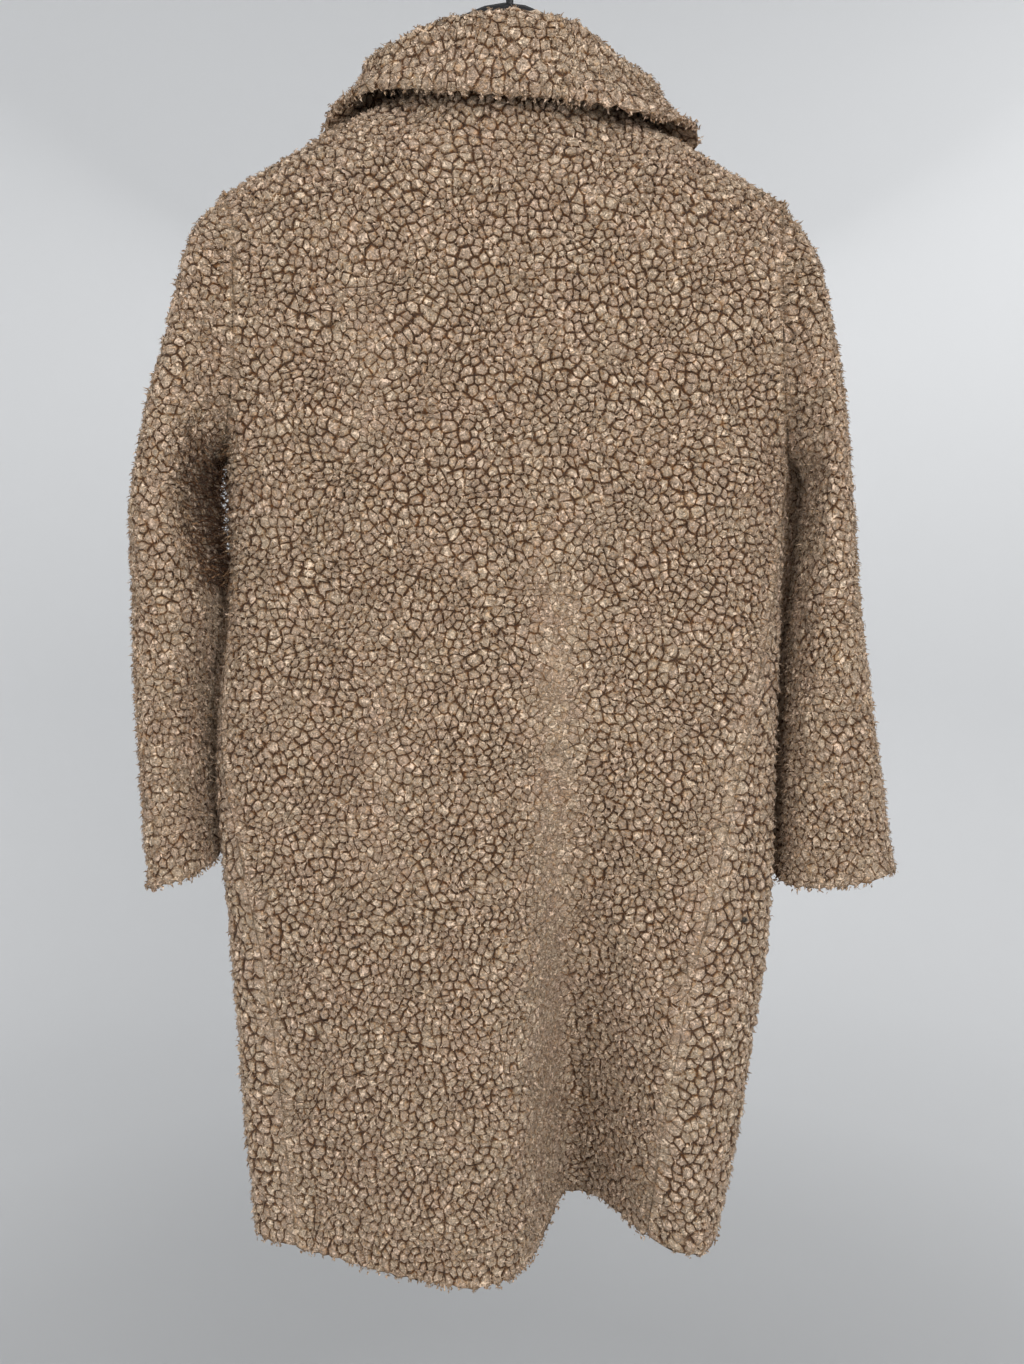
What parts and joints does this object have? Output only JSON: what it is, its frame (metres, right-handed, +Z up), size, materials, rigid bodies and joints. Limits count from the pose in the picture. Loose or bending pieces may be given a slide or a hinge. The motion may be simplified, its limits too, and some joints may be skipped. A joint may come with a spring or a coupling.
{
  "type": "faux fur coat on a hanger",
  "caption": "Long thick-pile teddy fur coat with set-in sleeves, a turned-down collar and a deep fold at the back hem, hung on a plain black one-piece hanger.",
  "frame": {"origin": "where the hanger's hook bears on the rail: the inside top of the hook's bow", "axes": "+Z up, along the coat's length; the coat's back faces -Y and its fronts face +Y; +X is the wearer's right-hand side"},
  "size_m": [0.713, 0.2094, 1.2584],
  "materials": {
    "fur": "curly teddy pile on a knitted backing, matt",
    "hanger_plastic": "moulded black plastic, satin"
  },
  "bodies": {
    "root": {"back": "fur", "front_left": "fur", "front_right": "fur", "sleeve_left": "fur", "sleeve_right": "fur", "collar": "fur", "hanger": "hanger_plastic"}
  },
  "joints": []
}
